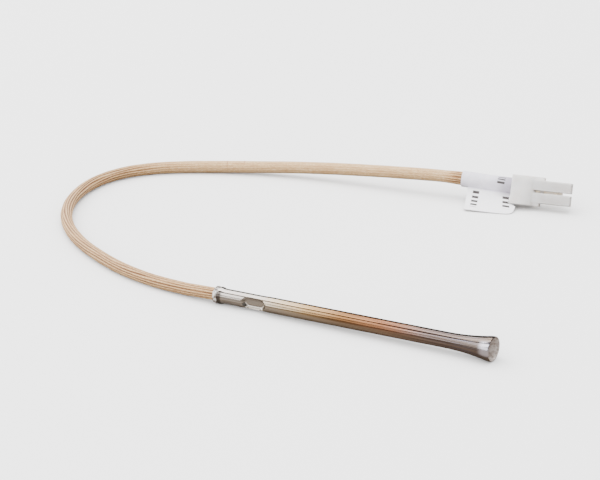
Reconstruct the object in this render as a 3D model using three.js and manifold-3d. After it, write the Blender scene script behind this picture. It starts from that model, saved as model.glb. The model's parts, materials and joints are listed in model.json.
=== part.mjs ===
// Flame sensor probe: a crimped and flared steel sheath with a two-wire sensing element inside,
// a free lead in a braided glass sleeve, a paper flag label and a two-way nylon plug housing.
// Millimetres. +X runs along the sheath towards its flared mouth and +Z is up.
import * as THREE from 'three';
import { mergeVertices } from 'three/addons/utils/BufferGeometryUtils.js';
import Module from 'manifold-3d';

const wasm = await Module();
wasm.setup();

// Sheath tube
const tubeLength = 89.2;
const tubeRadius = 2.38;
const tubeWall = 0.4;
const neckRadius = 2.28;
const rearLipRadius = 2.6;
const rearLipX = 0.5;
const mouthRadius = 3.7;
const mouthLipX = 88.6;
const mouthSkew = 0.12;
const skewStart = 80;
const flareStart = 72.5;
const flareEnd = 87.9;
const flarePower = 2.4;
const tubeSides = 28;

// Crimp: two opposite flats pressed into the tube
const crimpX = 11.9;
const crimpFloor = 2.1;
const crimpReach = 3.9;
const crimpDepth = 0.85;
const crimpDish = 0.4;
const crimpAngle = THREE.MathUtils.degToRad(13);
const crimpStations = [-4, -3, -2, -1, 0, 1, 2, 3, 4].map((i) => crimpX + i * crimpReach / 4);

// Sensing element inside the sheath
const gap = 0.3;
const legOffset = 0.55;
const coreRadius = 0.2;
const insulationRadius = 0.4;
const insulationBore = 0.26;
const elementRadius = 0.18;
const legHole = 0.4;
const insulatorRadius = 1.6;
const sealRadius = 1.65;
const tailRadius = 1.55;
const tailBore = 1.1;
const tailClearance = 0.05;
const tailPinched = 0.12;
const collarRadius = 2.5;
const collarLength = 1.4;
const insulationEnd = 17.4;
const spliceStart = 18;
const spliceLength = 4;
const insulatorStart = 25;
const insulatorLength = 52;
const beadX = 81;
const beadRadius = 0.5;

// Free lead
const sleeveRadius = 1.84;
const sleeveBore = 1.4;
const sleeveSteps = 30;
const cordSides = 8;
const coreSides = 6;

// Plug housing, measured along its own axis u, its thickness t and its height w
const housingLength = 19.6;
const blockLength = 7.4;
const slopeStart = 4.6;
const blockHeight = 9.6;
const blockThickness = 5.4;
const pitch = 4.2;
const siloHeight = 3.3;
const siloThickness = 3.8;
const cavityHeight = 2.5;
const cavityThickness = 2.7;
const upperRibEnd = 10.5;
const lowerRibEnd = 9.5;
const ribHeight = 0.9;
const ribThickness = 3.2;
const latchPivotU = 9.6;
const latchPivotT = 2.9;
const latchWidth = 3.2;
const webWidth = 2.6;

// Places in the row's frame
const housingPlace = new THREE.Vector3(1.25, 115.6, 5.52);
const housingHeading = THREE.MathUtils.degToRad(10.6);
const housingLean = THREE.MathUtils.degToRad(24);
const labelPlace = new THREE.Vector3(-16.85, 114.2, 6.7);
const labelLength = 16;
const labelHeading = THREE.MathUtils.degToRad(8.6);
const labelDip = THREE.MathUtils.degToRad(1.8);
const labelBore = 2.35;
const labelThickness = 0.25;
const tailStart = 1.9;
const tailEnd = 16.8;
const tailSkew = 0.22;

const tubeTilt = Math.asin((mouthRadius - rearLipRadius) / (mouthLipX - rearLipX));
const mouthReach = mouthSkew * (mouthRadius - 0.15);
const rearX = -(tubeLength + mouthReach - collarLength - gap) / 2;
const rearZ = rearLipRadius * Math.cos(tubeTilt) - rearLipX * Math.sin(tubeTilt);

// The lead's centreline, from the collar round to the label, lying on the surface at first
const leadRoute = [
  [-51.15, 0.0, 2.36], [-56.15, 0.3, 2.08], [-65.65, 1.3, 1.88], [-74.95, 3.2, 1.88],
  [-83.85, 6.2, 1.88], [-92.45, 10.3, 1.88], [-100.65, 15.1, 1.88], [-108.35, 20.8, 1.88],
  [-115.15, 27.4, 1.88], [-120.85, 34.9, 1.88], [-125.25, 43.3, 1.88], [-128.05, 52.3, 1.88],
  [-129.15, 61.7, 1.88], [-127.95, 71.0, 1.88], [-124.05, 79.4, 1.88], [-117.65, 86.4, 1.88],
  [-109.85, 91.8, 1.9], [-101.35, 96.2, 2.0], [-92.55, 99.9, 2.25], [-83.65, 103.1, 2.65],
  [-74.55, 105.7, 3.25], [-65.25, 107.7, 3.9], [-55.85, 109.2, 4.6], [-46.45, 110.4, 5.3],
  [-37.05, 111.6, 5.9], [-27.75, 112.9, 6.38], [-18.45, 114.1, 6.65], [-13.65, 114.75, 6.62],
];

// Centres of the pair of conductors past the end of the sleeve, and their half spacing there
const forkRoute = [
  [-9.65, 115.3, 6.5, 0.6],
  [-6.15, 115.75, 6.35, 0.65],
  [-2.55, 116.15, 6.15, 0.75],
  [-0.95, 116.2, 6.0, 1.0],
];

function smooth(value, low, high) {
  return THREE.MathUtils.smoothstep(value, low, high);
}

function finish(color, roughness, metalness) {
  return new THREE.MeshStandardMaterial({ color, roughness, metalness });
}

function named(name, geometry, material) {
  const mesh = new THREE.Mesh(geometry, material);
  mesh.name = name;
  return mesh;
}

// Solid of a closed geometry, for joining and cutting
function toSolid(geometry) {
  const bare = geometry.clone();
  bare.deleteAttribute('normal');
  bare.deleteAttribute('uv');
  const merged = mergeVertices(bare, 1e-4);
  const triVerts = Uint32Array.from(merged.index.array);
  const vertProperties = Float32Array.from(merged.attributes.position.array);
  return new wasm.Manifold(new wasm.Mesh({ numProp: 3, vertProperties, triVerts }));
}

function toGeometry(solid) {
  const mesh = solid.getMesh();
  const geometry = new THREE.BufferGeometry();
  geometry.setAttribute('position', new THREE.BufferAttribute(mesh.vertProperties, 3));
  geometry.setIndex(new THREE.BufferAttribute(mesh.triVerts, 1));
  geometry.computeVertexNormals();
  return geometry;
}

function joined(geometries) {
  return geometries.map(toSolid).reduce((whole, piece) => whole.add(piece));
}

// Box between two corners
function boxBetween(low, high) {
  const size = high.map((value, i) => value - low[i]);
  const middle = high.map((value, i) => (value + low[i]) / 2);
  return new THREE.BoxGeometry(...size).translate(...middle);
}

function ringShape(outer, holes) {
  const shape = new THREE.Shape().absarc(0, 0, outer, 0, 2 * Math.PI, false);
  for (const [x, y, radius] of holes) {
    shape.holes.push(new THREE.Path().absarc(x, y, radius, 0, 2 * Math.PI, true));
  }
  return shape;
}

// Prism along +X from a section drawn in Y and Z
function prismX(shape, start, length, curveSegments = 8) {
  const geometry = new THREE.ExtrudeGeometry(shape, { depth: length, bevelEnabled: false, curveSegments });
  const alongY = new THREE.Vector3(0, 1, 0);
  const alongZ = new THREE.Vector3(0, 0, 1);
  const alongX = new THREE.Vector3(1, 0, 0);
  geometry.applyMatrix4(new THREE.Matrix4().makeBasis(alongY, alongZ, alongX));
  return geometry.translate(start, 0, 0);
}

function sheathRadius(x) {
  const lip = (rearLipRadius - neckRadius) * (1 - smooth(x, rearLipX, 3.4));
  const swell = (tubeRadius - neckRadius) * smooth(x, 14, 18);
  const along = THREE.MathUtils.clamp((x - flareStart) / (flareEnd - flareStart), 0, 1);
  const flare = (mouthRadius - tubeRadius) * along ** flarePower;
  return neckRadius + lip + swell + flare;
}

// Distance from the axis to a surface that the crimp's dished flats press in, at a station and an angle
function pressedRadius(x, angle, radius, inset) {
  const press = 1 - smooth(Math.abs(x - crimpX), crimpFloor, crimpReach);
  const across = radius * Math.sin(angle - crimpAngle) / (tubeRadius - inset);
  const dish = crimpDish * Math.max(1 - 2 * across * across, 0);
  const height = tubeRadius - inset - (crimpDepth + dish) * press;
  const flat = height / Math.max(Math.abs(Math.cos(angle - crimpAngle)), 0.05);
  return press > 0 ? Math.min(radius, flat) : radius;
}

// Hollow turned piece from an outer and an inner run of [x, radius, inset] stations
function pressedTube(outer, inner, sides) {
  const loop = [...outer, ...inner.slice().reverse()];
  loop.push(loop[0]);
  const profile = loop.map(([x, radius]) => new THREE.Vector2(radius, x));
  const geometry = new THREE.LatheGeometry(profile, sides).rotateZ(-Math.PI / 2);
  const position = geometry.attributes.position;
  for (let i = 0; i < position.count; i++) {
    const [x, radius, inset] = loop[i % loop.length];
    const angle = Math.atan2(position.getZ(i), position.getY(i));
    const pressed = pressedRadius(x, angle, radius, inset);
    const y = pressed * Math.cos(angle);
    position.setXYZ(i, x + mouthSkew * y * smooth(x, skewStart, mouthLipX), y, pressed * Math.sin(angle));
  }
  geometry.computeVertexNormals();
  return geometry;
}

function sheathTube() {
  const stations = [0.9, 1.6, 2.4, 3.4, ...crimpStations, 18.5, 45, 72.5, 76, 78.8, 81.2, 83.2, 85, 86.5, flareEnd];
  const outer = stations.map((x) => [x, sheathRadius(x), 0]);
  const inner = stations.map((x) => [x, sheathRadius(x) - tubeWall, tubeWall]);
  outer.unshift([0, rearLipRadius - 0.2, 0], [rearLipX, rearLipRadius, 0]);
  inner.unshift([0, rearLipRadius - tubeWall, 0], [rearLipX, rearLipRadius - tubeWall, 0]);
  outer.push([mouthLipX, mouthRadius, 0], [tubeLength, mouthRadius - 0.15, 0]);
  inner.push([mouthLipX, mouthRadius - tubeWall, 0], [tubeLength, mouthRadius - tubeWall, 0]);
  return pressedTube(outer, inner, tubeSides);
}

// End of the glass sleeve: a rolled collar behind the tube and a tail pinched under the crimp
function sleeveRoot() {
  const stations = [1.2, ...crimpStations, insulationEnd - gap];
  const outer = stations.map((x) => [x, tailRadius, tubeWall + tailClearance]);
  const inner = stations.map((x) => [x, tailBore, tubeWall + tailClearance + tailPinched]);
  const back = -gap - collarLength;
  outer.unshift([back, collarRadius - 0.3, 0], [back + 0.35, collarRadius, 0]);
  outer.splice(2, 0, [-gap - 0.3, collarRadius, 0], [-gap, collarRadius - 0.3, 0], [-gap, tailRadius, 0]);
  inner.unshift([back, tailBore, 0]);
  return pressedTube(outer, inner, 20);
}

function twoHoles(radius) {
  return [[0, legOffset, radius], [0, -legOffset, radius]];
}

function sensingBead() {
  return new THREE.CapsuleGeometry(beadRadius, 2 * legOffset - 0.3, 4, 12).rotateX(Math.PI / 2).translate(beadX, 0, 0);
}

// Everything on the sheath's own axis, tilted so that both of its lips stand on the surface
function buildProbe() {
  const steel = finish(0xa8a49d, 0.28, 1.0);
  const glassFibre = finish(0xd8d4ca, 0.9, 0.0);
  const alumina = finish(0xf0ece0, 0.6, 0.0);
  const cement = finish(0xbfb8a8, 0.95, 0.0);
  const nickel = finish(0xb9b4a8, 0.35, 1.0);
  const probe = new THREE.Group();
  probe.position.set(rearX, 0, rearZ);
  probe.rotation.set(0, -tubeTilt, 0);
  probe.add(named('sheath_tube', sheathTube(), steel));
  probe.add(named('sleeve_root', sleeveRoot(), glassFibre));
  const spliceSleeve = prismX(ringShape(1.5, [[0, 0, 1.2]]), insulationEnd + gap, 5.1);
  probe.add(named('splice_sleeve', spliceSleeve, glassFibre.clone()));
  const rearSeal = prismX(ringShape(sealRadius, twoHoles(legHole)), insulatorStart - 1.9, 1.6, 6);
  probe.add(named('rear_seal', rearSeal, cement));
  const insulator = prismX(ringShape(insulatorRadius, twoHoles(legHole)), insulatorStart, insulatorLength, 6);
  probe.add(named('ceramic_insulator', insulator, alumina));
  const sealStart = insulatorStart + insulatorLength + gap;
  const frontSeal = prismX(ringShape(sealRadius, twoHoles(legHole)), sealStart, 1.4, 6);
  probe.add(named('front_seal', frontSeal, cement.clone()));
  for (const [letter, side] of [['a', 1], ['b', -1]]) {
    const splice = prismX(ringShape(0.42, [[0, 0, 0.27]]), spliceStart, spliceLength, 4);
    const spliceMesh = named(`splice_${letter}`, splice, nickel.clone());
    spliceMesh.position.z = side * legOffset;
    probe.add(spliceMesh);
    const wireStart = spliceStart + spliceLength / 2 + 0.2;
    const wireEnd = beadX - beadRadius - gap;
    const wire = new THREE.CylinderGeometry(elementRadius, elementRadius, wireEnd - wireStart, 8).rotateZ(Math.PI / 2);
    const wireMesh = named(`element_wire_${letter}`, wire, nickel.clone());
    wireMesh.position.set((wireStart + wireEnd) / 2, 0, side * legOffset);
    probe.add(wireMesh);
  }
  probe.add(named('sensing_bead', sensingBead(), nickel));
  return probe;
}

// Path whose extrusion steps fall exactly on its stations
class StationPath extends THREE.Curve {
  constructor(stations) {
    super();
    this.stations = stations;
  }

  getPoint(t, target = new THREE.Vector3()) {
    const place = THREE.MathUtils.clamp(t, 0, 1) * (this.stations.length - 1);
    const index = Math.min(Math.floor(place + 1e-9), this.stations.length - 2);
    return target.lerpVectors(this.stations[index], this.stations[index + 1], place - index);
  }

  getPointAt(u, target) {
    return this.getPoint(u, target);
  }

  getTangentAt(u, target = new THREE.Vector3()) {
    const index = Math.round(u * (this.stations.length - 1));
    const before = this.stations[Math.max(index - 1, 0)];
    const after = this.stations[Math.min(index + 1, this.stations.length - 1)];
    return target.subVectors(after, before).normalize();
  }
}

function cordAlong(stations, outer, bore, sides) {
  const holes = bore > 0 ? [[0, 0, bore]] : [];
  const options = { steps: stations.length - 1, curveSegments: sides / 2, bevelEnabled: false };
  options.extrudePath = new StationPath(stations);
  return new THREE.ExtrudeGeometry(ringShape(outer, holes), options);
}

function alongTube(x, z) {
  const cos = Math.cos(tubeTilt);
  const sin = Math.sin(tubeTilt);
  return new THREE.Vector3(rearX + x * cos - z * sin, 0, rearZ + x * sin + z * cos);
}

function sleeveStations() {
  const points = leadRoute.map((point) => new THREE.Vector3(...point));
  points.unshift(alongTube(-collarLength - 2 * gap, 0));
  return new THREE.CatmullRomCurve3(points).getSpacedPoints(sleeveSteps);
}

// The pair of conductors: side by side in the tube and sleeve, then forked to the two cavities
function conductorStations(side, housing) {
  const inTube = [insulationEnd, crimpX, 4].map((x) => alongTube(x, side * legOffset));
  const inSleeve = sleeveStations().map((point) => point.clone().setZ(point.z + side * legOffset));
  const across = new THREE.Vector3(0, 0, side).transformDirection(housing.matrixWorld);
  const fork = forkRoute.map(([x, y, z, spread]) => new THREE.Vector3(x, y, z).addScaledVector(across, spread));
  const mouths = [0.6, 5.9].map((u) => housing.localToWorld(new THREE.Vector3(u, 0, side * pitch / 2)));
  const bend = new THREE.CatmullRomCurve3([inSleeve.at(-1), ...fork, mouths[0]]);
  return [...inTube, ...inSleeve, ...bend.getSpacedPoints(6).slice(1), mouths[1]];
}

function buildLead(housing) {
  const braid = finish(0xcbb190, 0.9, 0.0);
  const insulation = finish(0xe4dccb, 0.85, 0.0);
  const copper = finish(0xb8aa98, 0.35, 1.0);
  const lead = new THREE.Group();
  lead.add(named('outer_sleeve', cordAlong(sleeveStations(), sleeveRadius, sleeveBore, cordSides), braid));
  for (const [letter, side] of [['a', 1], ['b', -1]]) {
    const stations = conductorStations(side, housing);
    const cover = cordAlong(stations, insulationRadius, insulationBore, cordSides);
    lead.add(named(`lead_insulation_${letter}`, cover, insulation.clone()));
    const bareStart = alongTube(spliceStart + spliceLength / 2 - 0.2, side * legOffset);
    const bareEnd = housing.localToWorld(new THREE.Vector3(8.4, 0, side * pitch / 2));
    const core = cordAlong([bareStart, ...stations, bareEnd], coreRadius, 0, coreSides);
    lead.add(named(`lead_core_${letter}`, core, copper.clone()));
  }
  return lead;
}

// Paper label: a loop round the lead with its joined tail curving down to the surface
function flagLabel() {
  const loop = prismX(ringShape(labelBore + labelThickness, [[0, 0, labelBore]]), 0, labelLength, 12);
  const upper = [[-1.75, -1.75], [-3.6, -3.3], [-6, -4.7], [-8.4, -5.55], [-10.8, -5.8]];
  const lower = upper.map(([y, z]) => [y + 0.1, z - labelThickness]).reverse();
  const outline = new THREE.Shape([...upper, ...lower].map(([y, z]) => new THREE.Vector2(y, z)));
  const tail = prismX(outline, tailStart, tailEnd - tailStart);
  tail.applyMatrix4(new THREE.Matrix4().makeShear(0, 0, -tailSkew, 0, 0, 0));
  const mesh = named('flag_label', toGeometry(joined([loop, tail])), finish(0xf4f5f7, 0.75, 0.0));
  mesh.position.copy(labelPlace);
  mesh.rotation.set(0, labelDip, labelHeading, 'ZYX');
  return mesh;
}

function connectorHousing() {
  const halfHeight = blockHeight / 2;
  const halfThick = blockThickness / 2;
  const halfSilo = siloThickness / 2;
  const side = new THREE.Shape();
  const outline = [[0, -halfThick], [slopeStart, -halfThick], [blockLength, -halfSilo], [blockLength, halfThick], [0, halfThick]];
  side.setFromPoints(outline.map(([u, t]) => new THREE.Vector2(u, t)));
  const block = new THREE.ExtrudeGeometry(side, { depth: blockHeight, bevelEnabled: false });
  const pieces = [block.translate(0, 0, -halfHeight)];
  const inside = blockLength - 1;
  const ribRoot = halfHeight - ribHeight - 0.2;
  pieces.push(boxBetween([inside, -ribThickness / 2, ribRoot], [upperRibEnd, ribThickness / 2, halfHeight]));
  pieces.push(boxBetween([inside, -ribThickness / 2, -halfHeight], [lowerRibEnd, ribThickness / 2, -ribRoot]));
  const webHalf = 0.5;
  const webLow = [latchPivotU - webHalf, halfSilo - 0.3, -webWidth / 2];
  pieces.push(boxBetween(webLow, [latchPivotU + webHalf, latchPivotT - 0.15, webWidth / 2]));
  const cavities = [];
  for (const centre of [-pitch / 2, pitch / 2]) {
    const siloLow = [inside, -halfSilo, centre - siloHeight / 2];
    pieces.push(boxBetween(siloLow, [housingLength, halfSilo, centre + siloHeight / 2]));
    const cavityLow = [-1, -cavityThickness / 2, centre - cavityHeight / 2];
    const cavityHigh = [housingLength + 1, cavityThickness / 2, centre + cavityHeight / 2];
    cavities.push(boxBetween(cavityLow, cavityHigh));
  }
  return toGeometry(joined(pieces).subtract(joined(cavities)));
}

// Crimp contact: insulation crimp, wire crimp, floor strip and the box that grips the mating pin
function crimpContact() {
  const strip = boxBetween([3.6, -0.95, -0.5], [11, -0.7, 0.5]);
  const insulationCrimp = prismX(ringShape(0.85, [[0, 0, 0.6]]), 3.6, 2);
  const wireCrimp = prismX(ringShape(0.75, [[0, 0, 0.4]]), 6.4, 1.8);
  const pinBox = toSolid(boxBetween([10.4, -1.05, -0.95], [18.6, 1.05, 0.95]));
  const pinHole = toSolid(boxBetween([12.4, -0.7, -0.6], [19, 0.7, 0.6]));
  return toGeometry(joined([strip, insulationCrimp, wireCrimp]).add(pinBox.subtract(pinHole)));
}

// Latch lever: thumb pad at the rear, foot over the web, catch at the front
function latchLever() {
  const outline = [
    [3.5, 3.6], [9.1, 3.6], [9.1, 3.05], [10.1, 3.05], [10.1, 3.6], [14.4, 3.6],
    [14.8, 2.6], [15.2, 2.6], [16.1, 3.6], [16.1, 4.3], [4.7, 4.3], [4.0, 4.8], [3.5, 4.8],
  ];
  const shape = new THREE.Shape(outline.map(([u, t]) => new THREE.Vector2(u, t)));
  const lever = new THREE.ExtrudeGeometry(shape, { depth: latchWidth, bevelEnabled: false });
  return lever.translate(0, 0, -latchWidth / 2);
}

function buildConnector() {
  const nylon = finish(0xe6e3df, 0.4, 0.0);
  const brass = finish(0xc7a86a, 0.3, 1.0);
  const connector = new THREE.Group();
  connector.position.copy(housingPlace);
  connector.rotation.set(-housingLean, 0, housingHeading, 'ZYX');
  connector.add(named('connector_housing', connectorHousing(), nylon));
  connector.add(named('latch_lever', latchLever(), nylon.clone()));
  for (const [letter, side] of [['a', 1], ['b', -1]]) {
    const contact = named(`crimp_contact_${letter}`, crimpContact(), brass.clone());
    contact.position.z = side * pitch / 2;
    connector.add(contact);
  }
  connector.updateMatrixWorld(true);
  return connector;
}

const flameSensorProbe = new THREE.Group();
const connector = buildConnector();
flameSensorProbe.add(buildProbe(), buildLead(connector), flagLabel(), connector);

export default flameSensorProbe;
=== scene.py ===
# Flame sensor probe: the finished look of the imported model, in metres and in the row's own frame.
import json
import math
import random
import bpy
import bmesh
from mathutils import Matrix, Vector, noise


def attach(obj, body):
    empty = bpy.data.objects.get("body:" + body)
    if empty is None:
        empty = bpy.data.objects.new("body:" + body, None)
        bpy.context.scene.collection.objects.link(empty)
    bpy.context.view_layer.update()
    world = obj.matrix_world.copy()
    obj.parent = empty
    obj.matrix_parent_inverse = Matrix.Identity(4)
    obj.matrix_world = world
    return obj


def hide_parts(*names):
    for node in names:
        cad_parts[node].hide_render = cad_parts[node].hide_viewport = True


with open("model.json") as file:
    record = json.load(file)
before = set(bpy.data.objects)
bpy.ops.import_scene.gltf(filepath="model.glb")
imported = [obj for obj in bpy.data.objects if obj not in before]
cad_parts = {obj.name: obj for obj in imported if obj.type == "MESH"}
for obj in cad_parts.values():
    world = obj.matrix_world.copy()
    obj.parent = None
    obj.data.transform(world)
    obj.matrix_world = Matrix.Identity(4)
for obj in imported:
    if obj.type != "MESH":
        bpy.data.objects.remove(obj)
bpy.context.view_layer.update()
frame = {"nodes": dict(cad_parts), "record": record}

mm = 0.001
nodes = frame["nodes"]
mounts = {mount["name"]: mount for mount in frame["record"]["mounts"]}


# Camera, floor and lights
studio = {
    "cameraPlace": (0.28331, -0.57094, 0.28598),
    "azimuth": 27.741,
    "elevation": 22.0,
    "lens": 144.0,
    "sensorWidth": 36.0,
    "floorSize": 8.0,
    # lamps as bands round the probe's axis: name, low and high edge in degrees up from the front,
    # distance, length along the axis, radiance
    "bands": [
        ("lowBand", 4, 26, 1.35, 2.1, 2.1),
        ("middleBand", 31, 60, 1.35, 2.1, 3.3),
        ("topBand", 77, 134, 1.3, 2.1, 4.3),
    ],
    "bandSlant": -0.43,
    "skyStrength": 2.3,
    "skyInMetal": 0.2,
}


def addCamera():
    data = bpy.data.cameras.new("camera")
    data.lens = studio["lens"]
    data.sensor_width = studio["sensorWidth"]
    camera = bpy.data.objects.new("camera", data)
    bpy.context.collection.objects.link(camera)
    camera.location = studio["cameraPlace"]
    tip = math.radians(90 - studio["elevation"])
    camera.rotation_euler = (tip, 0, math.radians(studio["azimuth"]))
    bpy.context.scene.camera = camera


def deselectAll():
    bpy.ops.object.select_all(action="DESELECT")


def srgb(red, green, blue):
    # linear colour of a swatch given as 0 to 255
    swatch = [value / 255 for value in (red, green, blue)]
    return [v / 12.92 if v < 0.04045 else ((v + 0.055) / 1.055) ** 2.4 for v in swatch] + [1.0]


class Wire:
    # a node's output that takes part in sums
    def __init__(self, finish, socket):
        self.finish = finish
        self.socket = socket

    def math(self, operation, *others):
        sockets = dict(enumerate((self,) + others))
        return self.finish.node("ShaderNodeMath", {"operation": operation}, sockets)

    def __add__(self, other):
        return self.math("ADD", other)

    def __radd__(self, other):
        return self.math("ADD", other)

    def __sub__(self, other):
        return self.math("SUBTRACT", other)

    def __rsub__(self, other):
        return self.finish.node("ShaderNodeMath", {"operation": "SUBTRACT"}, {0: other, 1: self})

    def __mul__(self, other):
        return self.math("MULTIPLY", other)

    def __rmul__(self, other):
        return self.math("MULTIPLY", other)

    def __truediv__(self, other):
        return self.math("DIVIDE", other)

    def __pow__(self, other):
        return self.math("POWER", other)

    def smooth(self, low, high):
        settings = {"interpolation_type": "SMOOTHSTEP", "clamp": True}
        sockets = {"Value": self, "From Min": low, "From Max": high}
        return self.finish.node("ShaderNodeMapRange", settings, sockets)


class Finish:
    # a material on one Principled shader
    def __init__(self, name, shader):
        self.material = bpy.data.materials.new(name)
        self.material.use_nodes = True
        self.tree = self.material.node_tree
        self.shader = self.tree.nodes["Principled BSDF"]
        for key, value in shader.items():
            self.shader.inputs[key].default_value = value

    def node(self, kind, settings=None, sockets=None, out=0):
        made = self.tree.nodes.new(kind)
        for key, value in (settings or {}).items():
            if key == "stops":
                self.fillRamp(made.color_ramp, value)
            else:
                setattr(made, key, value)
        for key, value in (sockets or {}).items():
            if isinstance(value, Wire):
                self.tree.links.new(value.socket, made.inputs[key])
            else:
                made.inputs[key].default_value = value
        return Wire(self, made.outputs[out])

    def fillRamp(self, ramp, stops):
        while len(ramp.elements) < len(stops):
            ramp.elements.new(0.5)
        for element, (place, colour) in zip(ramp.elements, stops):
            element.position = place
            element.color = colour

    def place(self, out="Object"):
        return self.node("ShaderNodeTexCoord", out=out)

    def mapped(self, matrix):
        # Object coordinates turned into the own frame of a piece that stands at this matrix
        sockets = {"Vector": self.place()}
        sockets["Location"] = tuple(matrix.translation)
        sockets["Rotation"] = tuple(matrix.to_euler())
        return self.node("ShaderNodeMapping", {"vector_type": "TEXTURE"}, sockets)

    def split(self, vector):
        made = self.node("ShaderNodeSeparateXYZ", {}, {0: vector})
        outputs = made.socket.node.outputs
        return [Wire(self, socket) for socket in outputs]

    def noise(self, vector, scale, detail=2.0, roughness=0.5):
        sockets = {"Vector": vector, "Scale": scale, "Detail": detail, "Roughness": roughness}
        return self.node("ShaderNodeTexNoise", {}, sockets)

    def ramp(self, value, stops):
        return self.node("ShaderNodeValToRGB", {"stops": stops}, {0: value})

    def mix(self, factor, low, high, blend="MIX"):
        settings = {"data_type": "RGBA", "blend_type": blend, "clamp_factor": True}
        return self.node("ShaderNodeMix", settings, {0: factor, 6: low, 7: high}, out=2)

    def bump(self, height, distance, strength=1.0):
        sockets = {"Height": height, "Distance": distance, "Strength": strength}
        return self.node("ShaderNodeBump", {}, sockets)

    def feed(self, **links):
        names = {"colour": "Base Color", "roughness": "Roughness", "metallic": "Metallic", "normal": "Normal"}
        for key, wire in links.items():
            self.tree.links.new(wire.socket, self.shader.inputs[names[key]])
        return self.material


def addFloor():
    deselectAll()
    bpy.ops.mesh.primitive_plane_add(size=studio["floorSize"], location=(0, 0, -0.00003))
    floor = bpy.context.object
    floor.name = "studio_floor"
    shader = {"Roughness": 0.9, "Base Color": srgb(250, 250, 250), "Specular IOR Level": 0.1}
    finish = Finish("floorPaint", shader)
    # the floor is pale to look at, but throws little light back up at the part
    direct = finish.node("ShaderNodeLightPath", out="Is Camera Ray")
    through = finish.node("ShaderNodeLightPath", out="Is Transmission Ray")
    seen = direct.math("MAXIMUM", through)
    dim = finish.node("ShaderNodeBsdfDiffuse", {}, {"Color": srgb(116, 110, 104)})
    output = finish.tree.nodes["Material Output"]
    pale = Wire(finish, finish.shader.outputs[0])
    shown = finish.node("ShaderNodeMixShader", {}, {0: seen, 1: dim, 2: pale})
    finish.tree.links.new(shown.socket, output.inputs["Surface"])
    floor.data.materials.append(finish.material)


def addLights():
    middle = Vector((0.0, 0.0, 0.003))
    slant = studio["bandSlant"]
    level = math.sqrt(1 - slant * slant)
    for name, low, high, distance, length, radiance in studio["bands"]:
        angle = math.radians((low + high) / 2)
        height = 2 * distance * level * math.tan(math.radians(high - low) / 2)
        data = bpy.data.lights.new(name, "AREA")
        data.shape = "RECTANGLE"
        data.size = length
        data.size_y = height
        data.energy = math.pi * radiance * length * height
        lamp = bpy.data.objects.new(name, data)
        bpy.context.collection.objects.link(lamp)
        away = Vector((slant, -level * math.cos(angle), level * math.sin(angle)))
        around = Vector((0.0, math.sin(angle), math.cos(angle)))
        turn = Matrix((around.cross(away), around, away)).transposed().to_4x4()
        lamp.matrix_world = Matrix.Translation(middle + away * distance) @ turn
    world = bpy.data.worlds.new("studioSky")
    bpy.context.scene.world = world
    world.use_nodes = True
    background = world.node_tree.nodes["Background"]
    background.inputs["Color"].default_value = (1.0, 1.0, 1.0, 1.0)
    lightPath = world.node_tree.nodes.new("ShaderNodeLightPath")
    dimming = world.node_tree.nodes.new("ShaderNodeMapRange")
    dimming.inputs["To Min"].default_value = studio["skyStrength"]
    dimming.inputs["To Max"].default_value = studio["skyInMetal"]
    world.node_tree.links.new(lightPath.outputs["Is Glossy Ray"], dimming.inputs["Value"])
    world.node_tree.links.new(dimming.outputs["Result"], background.inputs["Strength"])


addCamera()
addFloor()
addLights()
print("studio ready")


# Frames of the sheath and the plug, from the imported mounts
mountPlaces = {
    # where the record's mounts sit in the sheath's and the plug's own frames
    "clampX": 46.0,
    "sideX": 2.3,
    "sideDepth": 2.7,
}


def frameMatrix(alongX, alongY, alongZ, origin):
    turn = Matrix((alongX, alongY, alongZ)).transposed().to_4x4()
    return Matrix.Translation(origin) @ turn


def sheathFrame():
    mount = mounts["sheath_clamp"]
    alongX = Vector(mount["axis"]).normalized()
    alongY = Vector((0.0, 1.0, 0.0))
    origin = Vector(mount["pos_m"]) - alongX * mountPlaces["clampX"] * mm
    return frameMatrix(alongX, alongY, alongX.cross(alongY), origin)


def plugFrame():
    alongX = Vector(mounts["plug_front"]["axis"]).normalized()
    alongY = -Vector(mounts["plug_side"]["axis"]).normalized()
    origin = Vector(mounts["plug_side"]["pos_m"]) + alongY * mountPlaces["sideDepth"] * mm
    origin -= alongX * mountPlaces["sideX"] * mm
    return frameMatrix(alongX, alongY, alongX.cross(alongY), origin)


probePlace = sheathFrame()
plugPlace = plugFrame()


# Modelling helpers; pieces are drawn in millimetres in their own frame, then settled
def activate(piece):
    deselectAll()
    piece.select_set(True)
    bpy.context.view_layer.objects.active = piece


def named(name):
    piece = bpy.context.object
    piece.name = name
    piece.data.name = name
    return piece


def boxPiece(name, low, high):
    deselectAll()
    middle = [(a + b) / 2 for a, b in zip(low, high)]
    size = [b - a for a, b in zip(low, high)]
    bpy.ops.mesh.primitive_cube_add(size=1, location=middle, scale=size)
    bpy.ops.object.transform_apply(location=True, rotation=True, scale=True)
    return named(name)


def choose(piece, test, kind="FACE"):
    # selects faces, edges or vertices by their place and normal, in edit mode
    bpy.ops.mesh.select_mode(type=kind)
    bpy.ops.mesh.select_all(action="DESELECT")
    shape = bmesh.from_edit_mesh(piece.data)
    shape.normal_update()
    if kind == "FACE":
        for face in shape.faces:
            face.select_set(bool(test(face.calc_center_median(), face.normal)))
    elif kind == "EDGE":
        for edge in shape.edges:
            edge.select_set(bool(test(edge.verts[0].co, edge.verts[1].co)))
    else:
        for corner in shape.verts:
            corner.select_set(bool(test(corner.co)))
    shape.select_flush_mode()
    bmesh.update_edit_mesh(piece.data)


def sliceAcross(piece, places, normal):
    # cuts edge loops across the whole piece, in edit mode
    for place in places:
        bpy.ops.mesh.select_mode(type="FACE")
        bpy.ops.mesh.select_all(action="SELECT")
        point = [place * value for value in normal]
        bpy.ops.mesh.bisect(plane_co=point, plane_no=normal, threshold=0.0001)


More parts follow.
